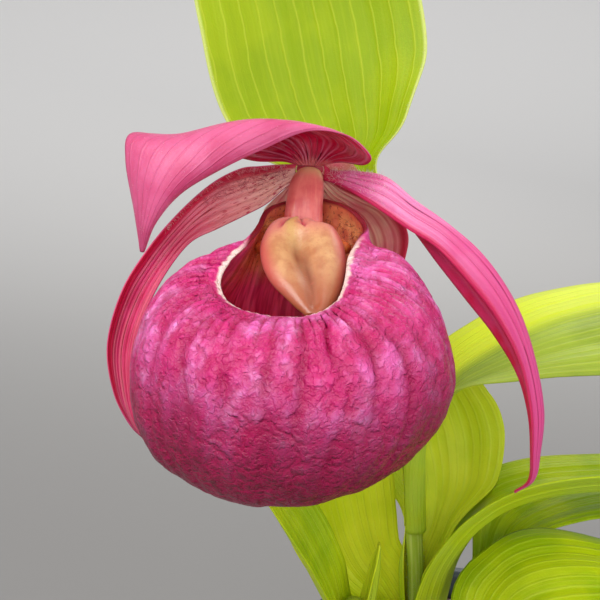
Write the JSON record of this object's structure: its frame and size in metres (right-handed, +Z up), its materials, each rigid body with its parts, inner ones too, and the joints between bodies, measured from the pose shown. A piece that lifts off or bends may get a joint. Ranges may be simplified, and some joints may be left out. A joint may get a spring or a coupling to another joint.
{
  "type": "potted slipper orchid",
  "caption": "Slipper orchid with a pouched pink flower on an arching stem, pleated green leaves and a tapered nursery pot.",
  "frame": {"origin": "middle of the pot's flat underside", "axes": "+Z up, the flower looks along -Y, its right petal is on +X"},
  "size_m": [0.1829, 0.1125, 0.3062],
  "materials": {
    "pot": "matte",
    "soil": "matte",
    "stem": "satin",
    "leaf": "satin",
    "bract": "satin",
    "tepal": "satin",
    "lip": "satin",
    "column": "satin",
    "staminode": "gloss",
    "anther": "matte",
    "stigma": "satin"
  },
  "bodies": {
    "root": {"pot": "pot", "soil": "soil", "stem_a": "stem", "stem_b": "stem", "stem_c": "stem", "leaf_a1": "leaf", "leaf_a2": "leaf", "leaf_a3": "leaf", "leaf_a4": "leaf", "leaf_b1": "leaf", "leaf_b2": "leaf", "leaf_c1": "leaf", "leaf_c2": "leaf", "bract": "bract", "ovary": "stem", "dorsal_sepal": "tepal", "synsepal": "tepal", "petal_left": "tepal", "petal_right": "tepal", "lip": "lip", "column": "column", "staminode": "staminode", "stigma": "stigma", "anther_left": "anther", "anther_right": "anther"}
  },
  "joints": []
}
